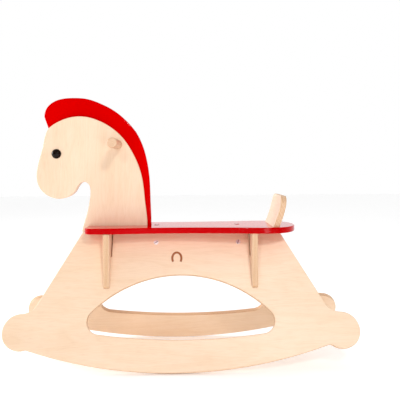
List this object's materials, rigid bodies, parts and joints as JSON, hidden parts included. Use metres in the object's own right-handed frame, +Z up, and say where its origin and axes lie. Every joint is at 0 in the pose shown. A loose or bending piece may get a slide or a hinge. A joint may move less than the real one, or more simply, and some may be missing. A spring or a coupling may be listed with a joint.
{
  "type": "rocking horse",
  "caption": "Flat-pack plywood rocking horse: leaning side panels with long windows and round end stops, layered head with a red mane, red seat, bent backrest and a round handle bar",
  "frame": {"origin": "on the floor, under the middle of the horse's length and width", "axes": "+X points to the horse's tail, +Y to its right side, +Z up; the horse looks along -X"},
  "size_m": [0.7, 0.2662, 0.543],
  "materials": {
    "birch_ply": "clear matt lacquer on birch plywood",
    "red_lacquer": "bright red lacquer on birch plywood",
    "turned_birch": "turned solid birch, clear lacquer",
    "dark_bead": "turned bead, near-black gloss",
    "zinc_steel": "zinc-plated furniture hardware"
  },
  "bodies": {
    "root": {"left_side_panel": "birch_ply", "right_side_panel": "birch_ply", "front_cross_board": "birch_ply", "rear_cross_board": "birch_ply", "left_head_board": "birch_ply", "right_head_board": "birch_ply", "seat_board": "red_lacquer", "mane_board": "red_lacquer", "backrest": "birch_ply", "handle_bar": "turned_birch", "seat_dowels": "turned_birch", "head_dowels": "turned_birch", "left_eye": "dark_bead", "right_eye": "dark_bead", "seat_bolts": "zinc_steel", "seat_barrel_nuts": "zinc_steel", "head_bolt": "zinc_steel", "head_barrel_nut": "zinc_steel", "handle_screw": "zinc_steel", "backrest_screws": "zinc_steel"}
  },
  "joints": []
}
